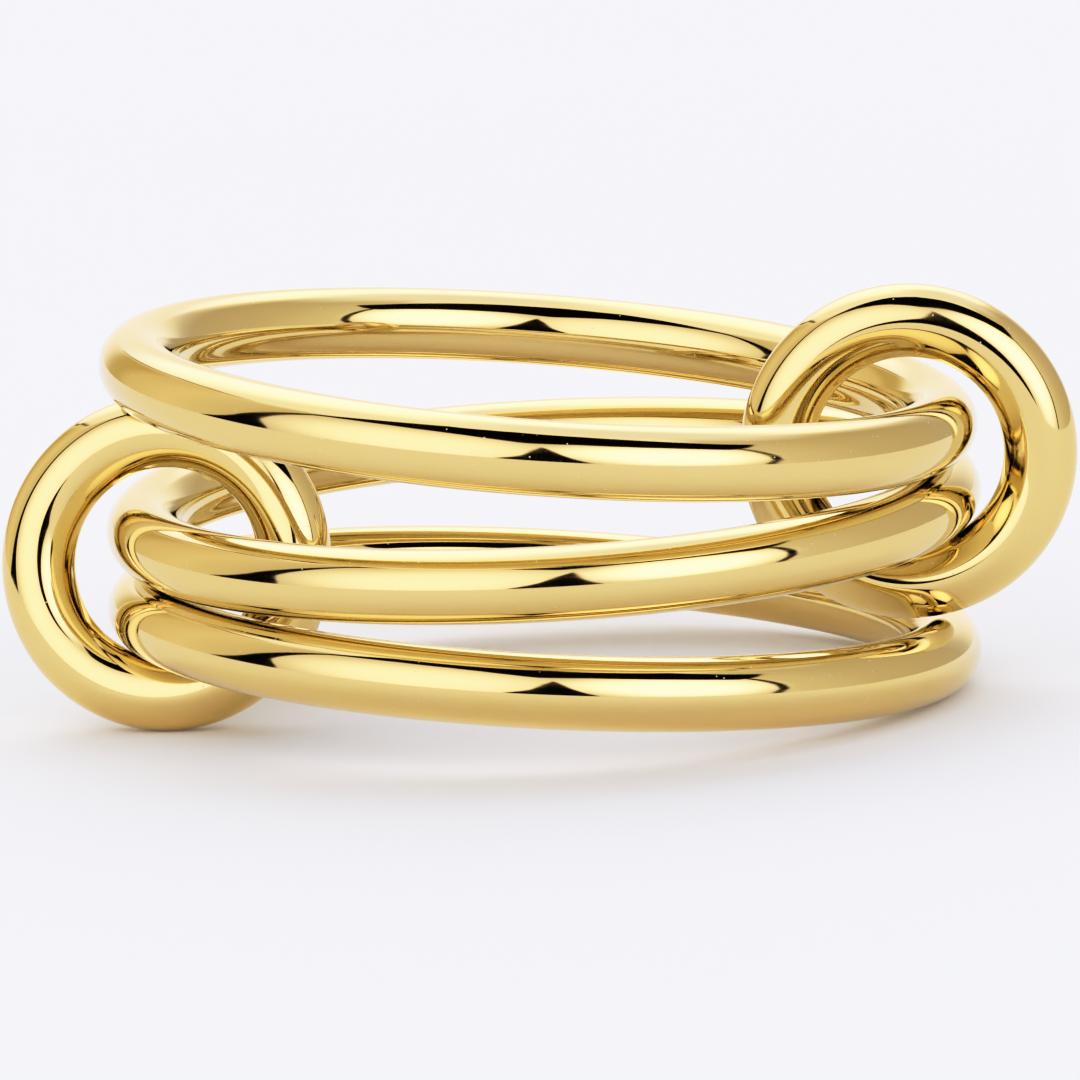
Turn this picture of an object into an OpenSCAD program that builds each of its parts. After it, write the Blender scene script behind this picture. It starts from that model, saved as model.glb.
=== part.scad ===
// Interlocking ring: three round-wire finger bands, held together by two small closed links.
// The left link passes round the middle and bottom bands, the right link round the top and middle bands.
// The five hoops are loose in each other. They are drawn lying on a flat surface, as the jewel comes to rest.
// Millimetres, +Z up, +X to the right, the origin on the surface under the middle of the whole jewel.

/* [Bands] */
// Inner diameter of each band, its ring size
band_bore_d = 17.35; // [16:0.05:20]
// Diameter of the round wire in bands and links
wire_d = 1.75; // [1.5:0.05:2]

/* [Links] */
// How much wider the hole of a link is than the two band wires that it holds
link_play = 1.0; // [1:0.05:1.5]
// How far the left link's centre lies inside the middle line of the band wire
left_link_inset = 0.55; // [0.45:0.05:0.65]
// How far the right link's centre lies inside the middle line of the band wire
right_link_inset = 0.85; // [0.75:0.05:0.9]
// Turn of the left link about the vertical
left_link_turn = -12; // [-16:0.5:-8]
// Turn of the right link about the vertical
right_link_turn = -3.5; // [-7:0.5:0]
// Lean of the left link, its top to the back
left_link_lean = 12; // [8:0.5:16]
// Lean of the right link, its top to the back
right_link_lean = 1; // [-2:0.5:4]

/* [Lie of the hoops] */
// Air left between hoops that touch
touch_gap = 0.04; // [0.02:0.01:0.06]
// How far the top band has slid to the front of the middle one
top_band_slide = 1.2; // [1:0.1:1.4]
// How far both links have slid to the front of the middle band's centre
link_slide = 1.25; // [1.1:0.05:1.4]

/* [Smoothness] */
// Segments round each band
hoop_segments = 180; // [72:12:360]
// Segments round the wire
wire_segments = 64; // [24:8:96]

/* [Hidden] */

gold = [0.93, 0.76, 0.40];

band_r = (band_bore_d + wire_d) / 2;
link_bore_d = 2 * wire_d + link_play;
link_outer_d = link_bore_d + 2 * wire_d;
link_r = (link_bore_d + wire_d) / 2;

// The bands also dip a little, by these angles about X: above zero the back is the higher side
top_band_dip = 0.8;
middle_band_dip = 1.7;
bottom_band_dip = -0.5;
bottom_band_shift = [-0.1, -0.1];

// Before it settles, a band starts about this high, counted in wires, and with about this slope
bottom_band_wires = 1;
middle_band_wires = 2.7;
top_band_wires = 4.3;
bottom_band_slope = 5;
top_band_slope = 7;

// A hoop is a row of five values, read with these column names: the radius of the wire's middle line, the
// centre, and the angles about X, Y and Z
RADIUS = 0;
CENTRE = 1;
TIP = 2;
SLOPE = 3;
TURN = 4;

// The tip of a hoop that stands on its edge
upright = 90;
// What a hoop rests on is another hoop's row, or the surface
on_surface = [];
left_side = -1;
right_side = 1;
// How often a hoop is moved towards its place, and at how many points of its wire the air is measured
settling_passes = 12;
contact_steps = 360;

// A laid hoop's own X, its own Y, and its axis
function hoop_x(h) = [cos(h[SLOPE]) * cos(h[TURN]), cos(h[SLOPE]) * sin(h[TURN]), -sin(h[SLOPE])];
function hoop_axis(h) =
    let (st = sin(h[TIP]), ct = cos(h[TIP]), ss = sin(h[SLOPE]), cs = cos(h[SLOPE]),
         su = sin(h[TURN]), cu = cos(h[TURN]))
    [su * st + cu * ss * ct, su * ss * ct - cu * st, cs * ct];
function hoop_y(h) = cross(hoop_axis(h), hoop_x(h));

// Half of the box that a hoop fills, along X, Y and Z
function half_box(h) = [for (n = hoop_axis(h)) h[RADIUS] * sqrt(1 - n * n) + wire_d / 2];

// A point on the middle line of a hoop's wire, and how far a point lies from that line
function on_hoop(h, angle) = h[CENTRE] + h[RADIUS] * (cos(angle) * hoop_x(h) + sin(angle) * hoop_y(h));
function off_hoop(h, p) =
    let (d = p - h[CENTRE], along = d * hoop_axis(h), out = sqrt(d * d - along * along))
    norm([out - h[RADIUS], along]);

// How much higher one side of a hoop must go to clear its support, another hoop by the gap
function lacking(h, support, side) =
    support == on_surface ? half_box(h)[2] - h[CENTRE][2] :
    wire_d + touch_gap - min([
        for (i = [0 : contact_steps - 1])
            let (p = on_hoop(h, i * 360 / contact_steps))
            if (p[0] * side > 0) off_hoop(support, p)
    ]);

// The hoop after its centre goes up and its slope grows, which lifts its left side
function moved(h, up, more_slope) =
    [h[RADIUS], h[CENTRE] + [0, 0, up], h[TIP], h[SLOPE] + more_slope, h[TURN]];

// A band let down until its left and right sides both just clear what they lie on
function settled(h, left, right, passes = settling_passes) =
    passes == 0 ? h :
    let (l = lacking(h, left, left_side), r = lacking(h, right, right_side))
    settled(moved(h, (l + r) / 2, atan((l - r) / (2 * band_r))), left, right, passes - 1);

// A link let down on one side of a band, or on the surface
function stood(h, support, side, passes = settling_passes) =
    passes == 0 ? h : stood(moved(h, lacking(h, support, side), 0), support, side, passes - 1);

// The hoops in the order in which they rest on each other, each starting a little above its place
left_link_row = stood(
    [link_r, [left_link_inset - band_r, -link_slide, link_outer_d / 2], upright - left_link_lean, 0,
     left_link_turn],
    on_surface, left_side);
bottom_band_row = settled(
    [band_r, concat(bottom_band_shift, bottom_band_wires * wire_d), bottom_band_dip, bottom_band_slope, 0],
    left_link_row, on_surface);
right_link_row = stood(
    [link_r, [band_r - right_link_inset, -link_slide, wire_d + link_outer_d / 2], upright - right_link_lean,
     0, right_link_turn],
    bottom_band_row, right_side);
middle_band_row = settled(
    [band_r, [0, 0, middle_band_wires * wire_d], middle_band_dip, 0, 0],
    bottom_band_row, right_link_row);
top_band_row = settled(
    [band_r, [0, -top_band_slide, top_band_wires * wire_d], top_band_dip, top_band_slope, 0],
    left_link_row, middle_band_row);

rows = [top_band_row, middle_band_row, bottom_band_row, left_link_row, right_link_row];

// The middle of the whole jewel's box along X or Y
function box_middle(axis) =
    (min([for (h = rows) h[CENTRE][axis] - half_box(h)[axis]])
     + max([for (h = rows) h[CENTRE][axis] + half_box(h)[axis]])) / 2;
origin_shift = [-box_middle(0), -box_middle(1), 0];

// One closed hoop of round wire, laid as its row says
module hoop(h) {
    color(gold)
    translate(h[CENTRE] + origin_shift)
    rotate([h[TIP], h[SLOPE], h[TURN]])
    rotate_extrude($fn = hoop_segments)
    translate([h[RADIUS], 0])
    circle(d = wire_d, $fn = wire_segments);
}

module top_band() hoop(top_band_row);

module middle_band() hoop(middle_band_row);

module bottom_band() hoop(bottom_band_row);

module left_link() hoop(left_link_row);

module right_link() hoop(right_link_row);

top_band();
middle_band();
bottom_band();
left_link();
right_link();
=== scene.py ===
"""An interlocking ring: three finger bands and two small links of round gold wire, buffed to a mirror.

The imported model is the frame. Each hoop's place and size is measured on its solid there, and a finer
hoop is swept on the same circle, so that its mirror finish has no facets. The ring lies on a pale matt
sheet inside a light tent: white cloths with dark gaps between them, which are what the bright metal shows.
Lengths are in metres and angles in degrees, unless a name says otherwise.
"""

import logging
import math
from collections.abc import Mapping, Sequence
from dataclasses import dataclass, field
from enum import Enum
from typing import Any

import bpy
import numpy as np
from mathutils import Matrix, Quaternion, Vector

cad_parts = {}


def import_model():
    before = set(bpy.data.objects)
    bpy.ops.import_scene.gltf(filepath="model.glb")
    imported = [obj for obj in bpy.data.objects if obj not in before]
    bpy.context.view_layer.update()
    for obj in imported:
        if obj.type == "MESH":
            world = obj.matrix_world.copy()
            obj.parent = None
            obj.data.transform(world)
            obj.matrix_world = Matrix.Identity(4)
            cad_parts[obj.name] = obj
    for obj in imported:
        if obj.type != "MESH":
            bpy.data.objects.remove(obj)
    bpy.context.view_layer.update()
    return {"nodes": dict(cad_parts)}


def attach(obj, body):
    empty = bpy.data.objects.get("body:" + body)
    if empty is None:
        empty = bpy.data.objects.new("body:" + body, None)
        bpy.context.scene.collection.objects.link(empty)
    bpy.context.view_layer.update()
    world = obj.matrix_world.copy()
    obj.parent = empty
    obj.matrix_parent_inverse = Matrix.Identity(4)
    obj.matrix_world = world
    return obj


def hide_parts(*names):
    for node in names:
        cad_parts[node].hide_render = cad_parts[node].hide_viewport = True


LOG = logging.getLogger("interlocking_ring")

MM = 0.001
ONLY_BODY = "root"

# The middle of a range that goes from 0 to 1
MIDDLE = 0.5


# Helpers for colours, nodes and curves


def linear(colour: str, strength: float = 1.0) -> tuple[float, float, float, float]:
    """Turn an sRGB colour into the linear one that shaders take.

    Args:
        colour: The colour as "#RRGGBB".
        strength: How many times as bright it is, for light.

    Returns:
        Red, green, blue and an alpha of 1.
    """
    parts = [int(colour[i : i + 2], 16) / 255 for i in (1, 3, 5)]
    red, green, blue = (
        strength * (c / 12.92 if c <= 0.04045 else ((c + 0.055) / 1.055) ** 2.4) for c in parts
    )
    return red, green, blue, 1.0


def emptied(owner: bpy.types.Material | bpy.types.World) -> bpy.types.NodeTree:
    """Turn on a material's or a world's nodes, and take out those that it starts with.

    Args:
        owner: The material or world.

    Returns:
        Its empty node tree.
    """
    owner.use_nodes = True
    owner.node_tree.nodes.clear()
    return owner.node_tree


def add_node(
    tree: bpy.types.NodeTree,
    kind: str,
    *inputs: Any,
    named: Mapping[str, Any] | None = None,
    **settings: Any,
) -> bpy.types.Node:
    """Add one node with its settings and its links.

    Args:
        tree: The node tree that it goes into.
        kind: Blender's name for the sort of node.
        inputs: For the node's inputs that are in use, in order: a number or colour, an output to link,
            or a node, which stands for its first output in use.
        named: The same for more inputs, by name.
        settings: The node's own properties.

    Returns:
        The new node.
    """
    node = tree.nodes.new(kind)
    for name, value in settings.items():
        setattr(node, name, value)
    in_use = [socket for socket in node.inputs if socket.enabled]
    given = list(zip(in_use, inputs))
    given += [(node.inputs[name], value) for name, value in (named or {}).items()]
    for socket, value in given:
        if isinstance(value, bpy.types.Node):
            value = next(output for output in value.outputs if output.enabled)
        if isinstance(value, bpy.types.NodeSocket):
            tree.links.new(value, socket)
        else:
            socket.default_value = value
    return node


def bend(curve: bpy.types.CurveMap, places: Sequence[tuple[float, float]], handle: str) -> None:
    """Lay a curve through given points.

    Args:
        curve: The curve, as it starts, with two points.
        places: Where its points go, from left to right.
        handle: Blender's name for how it runs through them.
    """
    while len(curve.points) < len(places):
        curve.points.new(MIDDLE, MIDDLE)
    for point, place in zip(curve.points, places, strict=True):
        point.location = place
        point.handle_type = handle


# The hoops


class HoopKind(Enum):
    """The two sorts of hoop in the ring, with the steps round the hoop and round its wire."""

    BAND = (640, 112)
    LINK = (384, 128)

    @property
    def ring_steps(self) -> int:
        """Steps round the whole hoop."""
        return self.value[0]

    @property
    def wire_steps(self) -> int:
        """Steps round the wire."""
        return self.value[1]


@dataclass(frozen=True)
class HoopLie:
    """How big one hoop of wire is, and where it lies."""

    centre: Vector
    axis: Vector
    ring_radius: float
    wire_radius: float

    @classmethod
    def of_solid(cls, solid: bpy.types.Object, rounds: int = 12) -> "HoopLie":
        """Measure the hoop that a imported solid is, by fitting a torus to its corners.

        Args:
            solid: The solid as the frame shows it.
            rounds: How many times the fit is made better.

        Returns:
            The hoop's lie.
        """
        flat = np.empty(len(solid.data.vertices) * 3)
        solid.data.vertices.foreach_get("co", flat)
        points = flat.reshape(-1, 3)

        # A first guess: the middle of the box, the flattest direction, and the corners that reach furthest
        centre = (points.min(axis=0) + points.max(axis=0)) / 2
        axis = np.linalg.svd(points - centre, full_matrices=False)[2][-1]
        height = (points - centre) @ axis
        wire = float(np.ptp(height)) / 2
        ring = float(np.linalg.norm(points - centre - np.outer(height, axis), axis=1).max()) - wire

        # Each round moves the centre, the axis and both radii at once, by what best closes the gaps between
        # torus and corners
        for _ in range(rounds):
            offset = points - centre
            height = offset @ axis
            level = offset - np.outer(height, axis)
            reach = np.linalg.norm(level, axis=1)
            outward = level / reach[:, None]
            from_line = np.hypot(reach - ring, height)
            radial, axial = (reach - ring) / from_line, height / from_line
            normal = radial[:, None] * outward + axial[:, None] * axis
            tilt = (axial * reach - radial * height)[:, None] * outward
            slopes = np.column_stack([-normal, tilt, -radial, -np.ones(len(points))])
            step = np.linalg.lstsq(slopes, wire - from_line, rcond=None)[0]
            centre = centre + step[:3]
            axis = axis + step[3:6]
            axis /= np.linalg.norm(axis)
            ring, wire = ring + float(step[6]), wire + float(step[7])
        return cls(Vector(centre), Vector(axis), ring, wire)

    @property
    def turn(self) -> Quaternion:
        """The turn that brings a hoop lying flat to this one's slope."""
        return Vector((0, 0, 1)).rotation_difference(self.axis)


class HoopSweep:
    """The node tree that sweeps a round wire round a circle, with every size a named input."""

    def __init__(self) -> None:
        """Build the tree once, for all hoops."""
        self.tree = bpy.data.node_groups.new("wire_hoop", "GeometryNodeTree")
        for name, kind in (
            ("Ring radius", "NodeSocketFloat"),
            ("Wire radius", "NodeSocketFloat"),
            ("Steps round the ring", "NodeSocketInt"),
            ("Steps round the wire", "NodeSocketInt"),
            ("Centre", "NodeSocketVector"),
            ("Turn", "NodeSocketRotation"),
            ("Finish", "NodeSocketMaterial"),
        ):
            self.tree.interface.new_socket(name, in_out="INPUT", socket_type=kind)
        self.tree.interface.new_socket("Hoop", in_out="OUTPUT", socket_type="NodeSocketGeometry")
        self._link_nodes()

    def _link_nodes(self) -> None:
        """Add the nodes. Both circles remember their points, which the finish reads off the swept wire."""
        given = add_node(self.tree, "NodeGroupInput").outputs
        place = add_node(self.tree, "GeometryNodeInputPosition")
        circles = []
        for memory, steps, radius in (
            ("along_wire", "Steps round the ring", "Ring radius"),
            ("across_wire", "Steps round the wire", "Wire radius"),
        ):
            circle = add_node(
                self.tree,
                "GeometryNodeCurvePrimitiveCircle",
                mode="RADIUS",
                named={"Resolution": given[steps], "Radius": given[radius]},
            )
            circles.append(
                add_node(
                    self.tree,
                    "GeometryNodeStoreNamedAttribute",
                    circle,
                    data_type="FLOAT_VECTOR",
                    domain="POINT",
                    named={"Name": memory, "Value": place},
                )
            )
        swept = add_node(self.tree, "GeometryNodeCurveToMesh", *circles)
        placed = add_node(
            self.tree,
            "GeometryNodeTransform",
            swept,
            named={"Translation": given["Centre"], "Rotation": given["Turn"]},
        )
        smooth = add_node(self.tree, "GeometryNodeSetShadeSmooth", placed)
        real = add_node(self.tree, "GeometryNodeRealizeInstances", smooth)
        dressed = add_node(
            self.tree, "GeometryNodeSetMaterial", real, named={"Material": given["Finish"]}
        )
        add_node(self.tree, "NodeGroupOutput", dressed)

    def make(
        self, name: str, lie: HoopLie, kind: HoopKind, finish: bpy.types.Material
    ) -> bpy.types.Object:
        """Sweep one hoop and turn it into a plain mesh.

        Args:
            name: The new piece's name.
            lie: Where it lies and how big it is.
            kind: Which sort of hoop it is.
            finish: What it is dressed in.

        Returns:
            The finished piece, its place in its mesh.
        """
        piece = bpy.data.objects.new(name, bpy.data.meshes.new(name))
        bpy.context.scene.collection.objects.link(piece)
        sweep = piece.modifiers.new("sweep", "NODES")
        sweep.node_group = self.tree
        values = {
            "Ring radius": lie.ring_radius,
            "Wire radius": lie.wire_radius,
            "Steps round the ring": kind.ring_steps,
            "Steps round the wire": kind.wire_steps,
            "Centre": tuple(lie.centre),
            "Turn": tuple(lie.turn.to_euler()),
            "Finish": finish,
        }
        for socket in self.tree.interface.items_tree:
            if socket.in_out == "INPUT":
                sweep[socket.identifier] = values[socket.name]
        state = bpy.context.evaluated_depsgraph_get()
        mesh = bpy.data.meshes.new_from_object(
            piece.evaluated_get(state), preserve_all_data_layers=True, depsgraph=state
        )
        piece.modifiers.clear()
        piece.data = mesh
        mesh.name = name
        return piece


@dataclass
class HoopSet:
    """Hoops of one kind: each name is a solid of the frame, and the new hoop stands for it."""

    kind: HoopKind
    solids: tuple[str, ...]
    suffix: str = "_wire"
    pieces: list[bpy.types.Object] = field(default_factory=list)

    def build(
        self, nodes: Mapping[str, bpy.types.Object], sweep: HoopSweep, finish: bpy.types.Material
    ) -> None:
        """Sweep each hoop where its solid lies.

        Args:
            nodes: The frame's solids by name.
            sweep: What sweeps a wire.
            finish: What the hoops are dressed in.
        """
        for name in self.solids:
            lie = HoopLie.of_solid(nodes[name])
            piece = sweep.make(name + self.suffix, lie, self.kind, finish)
            self.pieces.append(piece)
            LOG.info(
                "%s: %s, ring radius %.3f mm, wire radius %.3f mm, centre %s mm, %d faces",
                piece.name,
                self.kind.name.lower(),
                lie.ring_radius / MM,
                lie.wire_radius / MM,
                [round(c / MM, 3) for c in lie.centre],
                len(piece.data.polygons),
            )

    def seat(self) -> None:
        """Let the hoops ride on the frame and stand for their solids."""
        for piece, name in zip(self.pieces, self.solids, strict=True):
            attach(piece, ONLY_BODY)
            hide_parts(name)


# Finishes


@dataclass(frozen=True)
class Mottle:
    """An uneven pattern: the size of its patches, how many finer layers it has, and how much they count."""

    size_mm: float
    detail: float
    roughness: float = 0.5

    @property
    def values(self) -> dict[str, float]:
        """The same as the inputs of a noise node, with the scale counted per metre."""
        return {"Scale": 1 / (self.size_mm * MM), "Detail": self.detail, "Roughness": self.roughness}


@dataclass(frozen=True)
class BuffedGold:
    """18 carat yellow gold wire, drawn round, closed, and buffed on a soft wheel until it mirrors."""

    colour: str = "#E8CC8B"
    worn_colour: str = "#E6C985"
    # The colour that gold is painted where it is seen in a reflection: a painted reflection colour
    painted_reflection_colour: str = "#E5D9AE"
    dust_colour: str = "#D9D4C8"
    dust_cover: float = 0.6

    # The roughness where lines and clouds are faint, and where they are deep, and what counts as each
    sharpest: float = 0.04
    softest: float = 0.09
    haze_from: float = 0.1
    haze_to: float = 0.45

    clouds: Mottle = Mottle(1.3, 3.0, 0.6)
    swell: Mottle = Mottle(2.4, 1.0, 0.4)
    swell_height_mm: float = 0.0022
    line_gap_mm: float = 0.09
    line_length_mm: float = 5.0
    line_detail: float = 2.0
    mote_gap_mm: float = 0.27
    mote_mm: float = 0.021
    mote_core: float = 0.6

    def build(self) -> bpy.types.Material:
        """Build the material.

        Returns:
            The material.
        """
        material = bpy.data.materials.new("gold_18k_wire_buffed_to_a_mirror")
        tree = emptied(material)
        spot = add_node(tree, "ShaderNodeTexCoord").outputs["Object"]

        # Motes of dust, seen as pale specks where the gold mirrors something dark
        dust = self._dust(tree, spot)

        # Clouds of a little over a millimetre, where the wheel has left the gold brighter or duller
        clouds = add_node(tree, "ShaderNodeTexNoise", spot, named=self.clouds.values)
        own = add_node(
            tree,
            "ShaderNodeMix",
            clouds,
            linear(self.colour),
            linear(self.worn_colour),
            data_type="RGBA",
        )

        # Mirrored in its neighbour, gold this deep turns orange, which a camera draws paler, as straw
        # Where gold is seen in a reflection, its colour is painted this paler straw: a painted reflection
        # colour
        path = add_node(tree, "ShaderNodeLightPath").outputs["Is Glossy Ray"]
        gold = add_node(
            tree, "ShaderNodeMix", path, own, linear(self.painted_reflection_colour), data_type="RGBA"
        )
        colour = add_node(
            tree, "ShaderNodeMix", dust, gold, linear(self.dust_colour), data_type="RGBA"
        )

        # Fine lines along the wire, left by drawing and by the wheel. Real ones are a few thousandths of a
        # millimetre apart, too fine to show, so they are drawn about twenty times as coarse and very faint
        haze = add_node(tree, "ShaderNodeMath", self._lines(tree), clouds, operation="MULTIPLY")
        mirror = add_node(
            tree,
            "ShaderNodeMapRange",
            haze,
            self.haze_from,
            self.haze_to,
            self.sharpest,
            self.softest,
            interpolation_type="SMOOTHSTEP",
        )

        # The wheel leaves the wire very slightly uneven, so that straight reflections waver a little
        swell = add_node(tree, "ShaderNodeTexNoise", spot, named=self.swell.values)
        bump = add_node(
            tree, "ShaderNodeBump", named={"Distance": self.swell_height_mm * MM, "Height": swell}
        )
        metal = add_node(
            tree,
            "ShaderNodeBsdfPrincipled",
            named={
                "Base Color": colour,
                "Metallic": add_node(tree, "ShaderNodeMath", 1.0, dust, operation="SUBTRACT"),
                "Roughness": add_node(tree, "ShaderNodeMath", mirror, dust, operation="ADD"),
                "Normal": bump,
            },
        )
        add_node(tree, "ShaderNodeOutputMaterial", metal)
        return material

    def _lines(self, tree: bpy.types.NodeTree) -> bpy.types.Node:
        """Add the fine lines that run along the wire.

        Args:
            tree: The material's tree.

        Returns:
            How deep the lines are, from 0 to 1.
        """
        sides = []
        for memory, size_mm in (("along_wire", self.line_length_mm), ("across_wire", self.line_gap_mm)):
            point = add_node(tree, "ShaderNodeAttribute", attribute_name=memory).outputs["Vector"]
            steps = add_node(
                tree, "ShaderNodeVectorMath", point, named={"Scale": 1 / (size_mm * MM)}, operation="SCALE"
            )
            sides += add_node(tree, "ShaderNodeSeparateXYZ", steps).outputs[:2]
        place = add_node(tree, "ShaderNodeCombineXYZ", *sides[:3])
        return add_node(
            tree,
            "ShaderNodeTexNoise",
            noise_dimensions="4D",
            named={"Vector": place, "W": sides[3], "Scale": 1.0, "Detail": self.line_detail},
        )

    def _dust(self, tree: bpy.types.NodeTree, spot: bpy.types.NodeSocket) -> bpy.types.Node:
        """Add sparse motes of dust.

        Args:
            tree: The material's tree.
            spot: The coordinates that the motes are spread over.

        Returns:
            How much of the gold is covered, from 0 between the motes to the cover of a mote.
        """
        cells = add_node(
            tree, "ShaderNodeTexVoronoi", spot, named={"Scale": 1 / (self.mote_gap_mm * MM)}
        )
        radius = self.mote_mm / self.mote_gap_mm
        return add_node(
            tree,
            "ShaderNodeMapRange",
            cells,
            radius,
            radius * self.mote_core,
            0.0,
            self.dust_cover,
            interpolation_type="SMOOTHSTEP",
        )


@dataclass(frozen=True)
class MattSheet:
    """A sheet of opal acrylic with a matt tooth, lit faintly from below, which keeps shadows on it light."""

    colour: str = "#F2F6F4"
    shade: str = "#EFF3F1"
    glow: float = 0.05
    glow_colour: str = "#FAF9FF"
    roughness: float = 0.8
    tooth: Mottle = Mottle(0.12, 2.0)
    tooth_height_mm: float = 0.004
    clouds: Mottle = Mottle(60.0, 2.0)

    def build(self) -> bpy.types.Material:
        """Build the material.

        Returns:
            The material.
        """
        material = bpy.data.materials.new("opal_acrylic_matt_lit_from_below")
        tree = emptied(material)
        spot = add_node(tree, "ShaderNodeTexCoord").outputs["Object"]

        # Broad clouds, hardly seen, where the sheet scatters a little less light
        clouds = add_node(tree, "ShaderNodeTexNoise", spot, named=self.clouds.values)
        colour = add_node(
            tree, "ShaderNodeMix", clouds, linear(self.colour), linear(self.shade), data_type="RGBA"
        )

        # The tooth that blasting leaves, which takes the shine off
        tooth = add_node(tree, "ShaderNodeTexNoise", spot, named=self.tooth.values)
        bump = add_node(
            tree, "ShaderNodeBump", named={"Distance": self.tooth_height_mm * MM, "Height": tooth}
        )
        acrylic = add_node(
            tree,
            "ShaderNodeBsdfPrincipled",
            named={
                "Base Color": colour,
                "Roughness": self.roughness,
                "Normal": bump,
                "Emission Color": linear(self.glow_colour),
                "Emission Strength": self.glow,
            },
        )
        add_node(tree, "ShaderNodeOutputMaterial", acrylic)
        return material


# The studio

# The edge of a cloth in the tent, as pairs of angles: a place along it, and how far it reaches there
Edge = tuple[tuple[float, float], ...]

# The whole range of an azimuth, and of an elevation
ALL_ROUND = 360
DOWN_TO_UP = 180


def share(angle: float, whole: float) -> float:
    """Turn an angle into a share of its whole range, which has 0 degrees in its middle."""
    return angle / whole + MIDDLE


class Run(Enum):
    """Which way an edge runs, with the whole range of the angle along it and of the angle across it."""

    UP = (DOWN_TO_UP, ALL_ROUND)
    ROUND = (ALL_ROUND, DOWN_TO_UP)

    @property
    def along(self) -> int:
        """The whole range of the angle along the edge."""
        return self.value[0]

    @property
    def across(self) -> int:
        """The whole range of the angle across the edge."""
        return self.value[1]


@dataclass(frozen=True)
class Gap:
    """A dark gap between the edges of two cloths.

    Each edge fades over as many degrees as the softness says, of which the outer share lies on the cloth.
    """

    run: Run
    near: Edge
    far: Edge
    softness: float = 1.2
    outer_share: float = 0.4


@dataclass(frozen=True)
class Patch:
    """A round patch of the tent that fades outwards: a lamp behind the cloth, or cloth hung double.

    It is whole up to core degrees from its middle, and gone from reach degrees on.
    """

    azimuth: float
    elevation: float
    core: float
    reach: float
    colour: str
    strength: float

    @property
    def way(self) -> Vector:
        """The direction from the ring to the patch."""
        swing, rise = math.radians(self.azimuth), math.radians(self.elevation)
        return Vector(
            (math.sin(swing) * math.cos(rise), -math.cos(swing) * math.cos(rise), math.sin(rise))
        )


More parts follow.
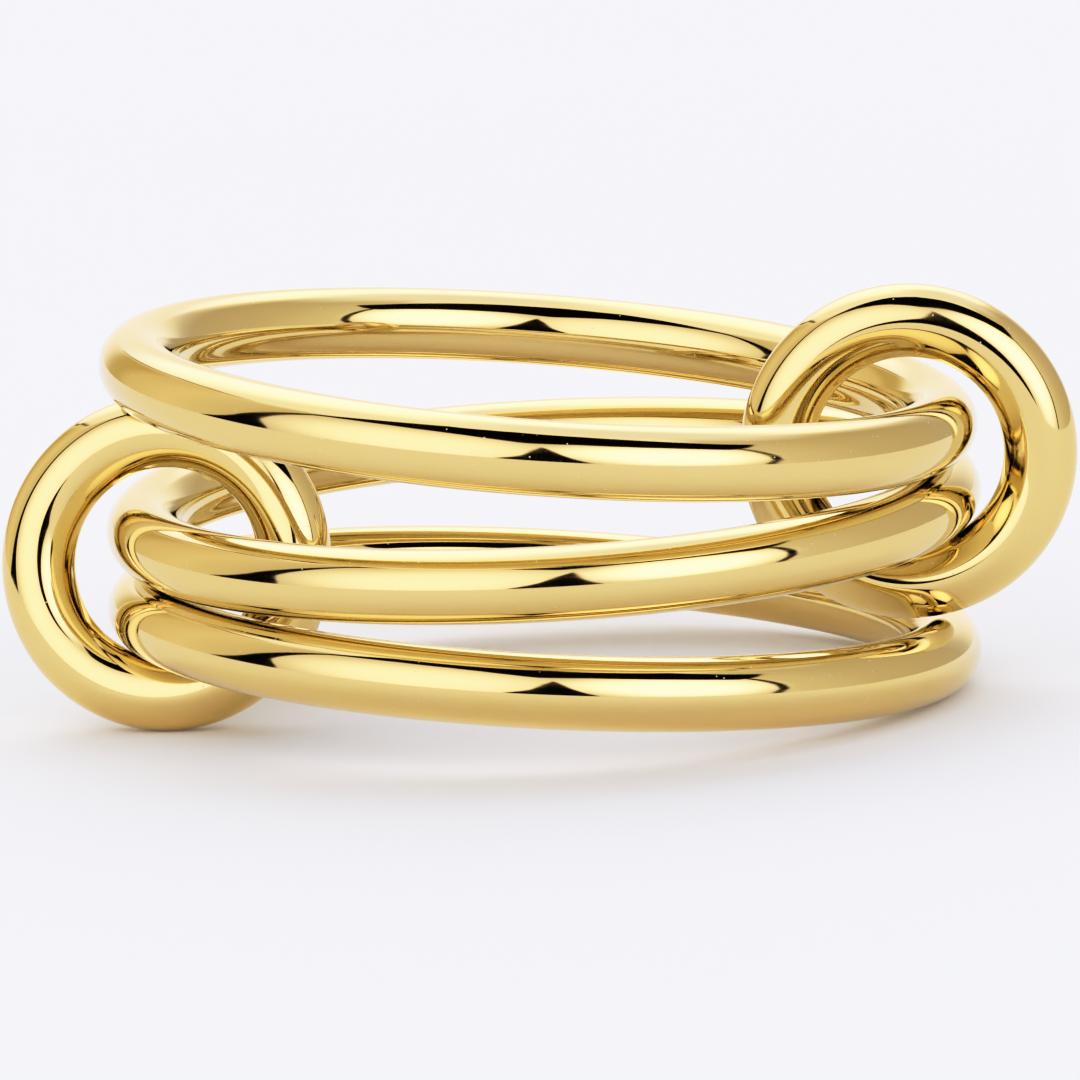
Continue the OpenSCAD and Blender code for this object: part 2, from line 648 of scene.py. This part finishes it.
@dataclass(frozen=True)
class LightTent:
    """A tent of white cloth lit from outside, open in gaps that stay dark.

    Azimuth 0 is the side the camera is on and grows to the right, and elevation is above the sheet.
    The cloths are so far from the ring that only their direction counts.
    """

    dark: str = "#0A0907"

    # The walls, once round: an azimuth and the colour there, which blends into the next
    cloth_strength: float = 1.1
    cloths: tuple[tuple[float, str], ...] = (
        (-180, "#FFF5E6"),
        (-161, "#EBDFC8"),
        (-155, "#CABE93"),
        (-143, "#CABE93"),
        (-135, "#E3D7BD"),
        (-112, "#F3EADD"),
        (-79.5, "#D6D3CE"),
        (-78.5, "#ECEBF5"),
        (69.5, "#ECEBF5"),
        (70.5, "#E5E4E7"),
        (100, "#D1CFCE"),
        (142, "#C2BFB9"),
        (158, "#DAD8D8"),
        (180, "#FFF5E6"),
    )

    # The roof, which begins at its edge: pairs of an azimuth and an elevation
    roof: str = "#ECEEFF"
    roof_strength: float = 1.55
    roof_softness: float = 7.0
    roof_edge: Edge = (
        (-180, 6), (-166, 12), (-152, 26), (-140, 38), (-128, 45), (-115, 49), (-103, 52), (-80, 60),
        (-60, 72), (0, 72), (50, 66), (70, 58), (80, 60), (90, 62), (105, 66), (120, 62), (135, 50),
        (150, 34), (165, 16), (180, 5),
    )

    # Two in front, two behind, and one high up at the back right
    patches: tuple[Patch, ...] = (
        Patch(-32, 22, 0, 46, "#F6F0FF", 2.0),
        Patch(38, 24, 0, 34, "#F1ECFF", 2.85),
        Patch(180, 50, 0, 36, "#F5F1FF", 2.4),
        Patch(180, 3, 6, 32, "#FFF6EC", 1.24),
        Patch(136, 66, 2, 25, "#DCE1FF", 1.6),
    )

    # On the left, in front, and on the right; then over the front, and thin at the back left
    gaps: tuple[Gap, ...] = (
        Gap(
            Run.UP,
            near=((-6, -104), (0, -98), (5, -92), (10, -88.5), (16, -86), (24, -84.5), (34, -82.5),
                  (58, -80), (61, -78)),
            far=((-6, -74), (6, -74), (20, -77), (32, -76.5), (58, -76), (61, -78)),
        ),
        Gap(
            Run.UP,
            near=((-6, -16), (0, -11), (8, -5.5), (14, -2.5), (24, 0.5), (30, 2.2), (38, 5.5), (44, 8)),
            far=((-6, 18), (0, 14.5), (6, 12.3), (12, 10.7), (20, 9.3), (30, 8.6), (38, 8), (44, 7)),
        ),
        Gap(
            Run.UP,
            near=((-6, 60), (3, 62), (10, 65), (20, 67), (36, 69), (48, 70), (51, 72)),
            far=((-6, 63), (3, 65.5), (10, 68.5), (20, 70.3), (36, 72), (48, 73), (51, 72)),
        ),
        Gap(
            Run.ROUND,
            near=((-84, 66), (-79, 50), (-74, 56.5), (-66, 60), (-52, 63), (-30, 63), (-16, 60.5),
                  (-4, 55), (4, 50), (12, 51.5), (24, 53), (38, 51), (50, 48), (60, 43.5), (67, 39.5),
                  (76, 42), (84, 46), (95, 52)),
            far=((-84, 44), (-79, 58), (-75, 68), (-71, 77), (-63, 84), (0, 86), (45, 84.5), (58, 80),
                 (69, 76), (74, 70), (78, 61), (81, 53.5), (86, 49), (95, 44)),
        ),
        Gap(
            Run.ROUND,
            near=((-166, 17), (-160, 17.4), (-152, 25.5), (-140, 37.4), (-128, 44.2), (-115, 48.7),
                  (-106, 51.4), (-98, 54)),
            far=((-166, 12), (-160, 18), (-152, 26.9), (-140, 38.8), (-128, 45.6), (-115, 49.9),
                 (-106, 51.6), (-98, 50)),
        ),
    )

    # What the camera sees past the sheet
    room: str = "#F4F3FF"
    room_strength: float = 1.16

    def build(self) -> None:
        """Build the world that stands for the tent."""
        world = bpy.data.worlds.new("light_tent")
        bpy.context.scene.world = world
        tree = emptied(world)
        way = add_node(tree, "ShaderNodeTexCoord").outputs["Generated"]
        x, y, z = add_node(tree, "ShaderNodeSeparateXYZ", way).outputs[:3]

        # Both angles as shares of their whole range, in the middle straight to the front and level
        front = add_node(tree, "ShaderNodeMath", 0.0, y, operation="SUBTRACT")
        swing = add_node(tree, "ShaderNodeMath", x, front, operation="ARCTAN2")
        rise = add_node(tree, "ShaderNodeMath", z, operation="ARCSINE")
        azimuth, elevation = (
            add_node(
                tree,
                "ShaderNodeMath",
                angle,
                1 / math.radians(whole),
                MIDDLE,
                operation="MULTIPLY_ADD",
            )
            for angle, whole in ((swing, ALL_ROUND), (rise, DOWN_TO_UP))
        )

        tent = self._cloths(tree, azimuth, elevation)
        for patch in self.patches:
            towards = add_node(tree, "ShaderNodeVectorMath", way, patch.way, operation="DOT_PRODUCT")
            glow = add_node(
                tree,
                "ShaderNodeMapRange",
                towards,
                math.cos(math.radians(patch.reach)),
                math.cos(math.radians(patch.core)),
                interpolation_type="SMOOTHSTEP",
            )
            light = linear(patch.colour, patch.strength)
            tent = add_node(tree, "ShaderNodeMix", glow, tent, light, data_type="RGBA")
        for gap in self.gaps:
            along, across = (elevation, azimuth) if gap.run is Run.UP else (azimuth, elevation)
            shown = self._gap(tree, along, across, gap)
            tent = add_node(tree, "ShaderNodeMix", shown, tent, linear(self.dark), data_type="RGBA")

        # The camera sees a plain pale room past the sheet's edge, never the tent
        path = add_node(tree, "ShaderNodeLightPath").outputs["Is Camera Ray"]
        room = linear(self.room, self.room_strength)
        seen = add_node(tree, "ShaderNodeMix", path, tent, room, data_type="RGBA")
        light = add_node(tree, "ShaderNodeBackground", seen)
        add_node(tree, "ShaderNodeOutputWorld", light)
        LOG.info(
            "light tent: %d patches, %d gaps, %d nodes", len(self.patches), len(self.gaps), len(tree.nodes)
        )

    def _cloths(
        self, tree: bpy.types.NodeTree, azimuth: bpy.types.Node, elevation: bpy.types.Node
    ) -> bpy.types.Node:
        """Hang the walls round the ring, and the roof over them.

        Args:
            tree: The world's tree.
            azimuth: The azimuth that is looked along.
            elevation: The elevation that is looked along.

        Returns:
            The colour that is seen.
        """
        walls = add_node(tree, "ShaderNodeValToRGB", azimuth)
        stops = walls.color_ramp.elements
        while len(stops) < len(self.cloths):
            stops.new(MIDDLE)
        for stop, (at, colour) in zip(stops, self.cloths, strict=True):
            stop.position = share(at, ALL_ROUND)
            stop.color = linear(colour, self.cloth_strength)
        edge = self._edge(tree, azimuth, Run.ROUND, self.roof_edge)
        above = add_node(tree, "ShaderNodeMath", elevation, edge, operation="SUBTRACT")
        half = self.roof_softness / 2 / DOWN_TO_UP
        over = add_node(
            tree, "ShaderNodeMapRange", above, -half, half, interpolation_type="SMOOTHSTEP"
        )
        roof = linear(self.roof, self.roof_strength)
        return add_node(tree, "ShaderNodeMix", over, walls, roof, data_type="RGBA")

    @staticmethod
    def _edge(tree: bpy.types.NodeTree, along: bpy.types.Node, run: Run, edge: Edge) -> bpy.types.Node:
        """Read off how far an edge reaches.

        Args:
            tree: The world's tree.
            along: The angle along the edge, as a share of its range.
            run: Which way the edge runs.
            edge: The edge.

        Returns:
            The angle that it reaches to, as a share of its range.
        """
        curve = add_node(tree, "ShaderNodeFloatCurve", named={"Value": along})
        places = [(share(at, run.along), share(reach, run.across)) for at, reach in edge]
        bend(curve.mapping.curves[0], places, "VECTOR")
        curve.mapping.update()
        return curve

    def _gap(
        self, tree: bpy.types.NodeTree, along: bpy.types.Node, across: bpy.types.Node, gap: Gap
    ) -> bpy.types.Node:
        """Find where one gap shows.

        Args:
            tree: The world's tree.
            along: The angle along the gap, as a share of its range.
            across: The angle across it, as a share of its range.
            gap: The gap.

        Returns:
            1 in the gap, 0 outside, and between them at its soft edges.
        """
        near = self._edge(tree, along, gap.run, gap.near)
        far = self._edge(tree, along, gap.run, gap.far)
        past_near = add_node(tree, "ShaderNodeMath", across, near, operation="SUBTRACT")
        before_far = add_node(tree, "ShaderNodeMath", far, across, operation="SUBTRACT")
        inside = add_node(tree, "ShaderNodeMath", past_near, before_far, operation="MINIMUM")
        softness = gap.softness / gap.run.across
        return add_node(
            tree,
            "ShaderNodeMapRange",
            inside,
            -gap.outer_share * softness,
            (1 - gap.outer_share) * softness,
            interpolation_type="SMOOTHSTEP",
        )


@dataclass(frozen=True)
class ShowSheet:
    """The sheet that the ring lies on."""

    half_width: float = 1.6

    def build(self, finish: bpy.types.Material) -> None:
        """Lay the sheet at the height the ring rests on.

        Args:
            finish: What it is made of.
        """
        mesh = bpy.data.meshes.new("sheet")
        out = self.half_width
        corners = [(-out, -out, 0), (out, -out, 0), (out, out, 0), (-out, out, 0)]
        mesh.from_pydata(corners, [], [range(len(corners))])
        mesh.materials.append(finish)
        sheet = bpy.data.objects.new("sheet", mesh)
        bpy.context.scene.collection.objects.link(sheet)
        LOG.info("sheet: %.1f m wide", 2 * out)


@dataclass(frozen=True)
class CameraResponse:
    """How the camera shows each brightness: with some contrast, and with highlights that fade to white."""

    brightest: float = 3.0

    # How bright a thing is, and how bright it is shown
    points: tuple[tuple[float, float], ...] = (
        (0, 0), (0.05, 0.028), (0.1, 0.066), (0.3, 0.26), (0.57, 0.57), (0.72, 0.71), (0.94, 0.86),
        (1.2, 0.955), (1.5, 0.985), (3.0, 1.0),
    )

    def build(self) -> None:
        """Give the scene's view this response."""
        view = bpy.context.scene.view_settings
        view.view_transform = "Standard"
        view.use_curve_mapping = True
        mapping = view.curve_mapping
        mapping.white_level = (self.brightest,) * 3

        # After a curve each for red, green and blue comes the one that acts on all three
        *_, all_channels = mapping.curves
        places = [(given / self.brightest, shown) for given, shown in self.points]
        bend(all_channels, places, "AUTO_CLAMPED")
        mapping.update()


@dataclass(frozen=True)
class PortraitCamera:
    """A long lens, a quarter of a metre in front of the ring and a little above it."""

    target: tuple[float, float, float] = (-0.000002, 0.0, 0.003941)
    distance: float = 0.25
    azimuth: float = -0.032
    elevation: float = 9.221
    roll: float = -2.668
    lens_mm: float = 350.4
    nearest: float = 0.01
    farthest: float = 20.0

    def build(self) -> None:
        """Place the camera and make it the scene's."""
        swing, rise, lean = (math.radians(a) for a in (self.azimuth, self.elevation, self.roll))
        forward = Vector(
            (math.sin(swing) * math.cos(rise), math.cos(swing) * math.cos(rise), -math.sin(rise))
        )
        level = forward.cross(Vector((0, 0, 1))).normalized()
        upright = level.cross(forward)
        right = math.cos(lean) * level + math.sin(lean) * upright
        up = math.cos(lean) * upright - math.sin(lean) * level
        data = bpy.data.cameras.new("camera")
        data.lens = self.lens_mm
        data.clip_start = self.nearest
        data.clip_end = self.farthest
        camera = bpy.data.objects.new("camera", data)
        bpy.context.scene.collection.objects.link(camera)
        place = Vector(self.target) - self.distance * forward
        turn = Matrix((right, up, -forward)).transposed().to_4x4()
        camera.matrix_world = Matrix.Translation(place) @ turn
        bpy.context.scene.camera = camera
        LOG.info("camera: at %s mm", [round(c / MM, 1) for c in place])


def main() -> None:
    """Load the frame, dress the ring, and set up the studio."""
    logging.basicConfig(level=logging.INFO, format="%(name)s: %(message)s")
    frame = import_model()
    sweep = HoopSweep()
    gold = BuffedGold().build()
    for hoops in (
        HoopSet(HoopKind.BAND, ("top_band", "middle_band", "bottom_band")),
        HoopSet(HoopKind.LINK, ("left_link", "right_link")),
    ):
        hoops.build(frame["nodes"], sweep, gold)
        hoops.seat()
    ShowSheet().build(MattSheet().build())
    LightTent().build()
    PortraitCamera().build()
    CameraResponse().build()


if __name__ == "__main__":
    main()
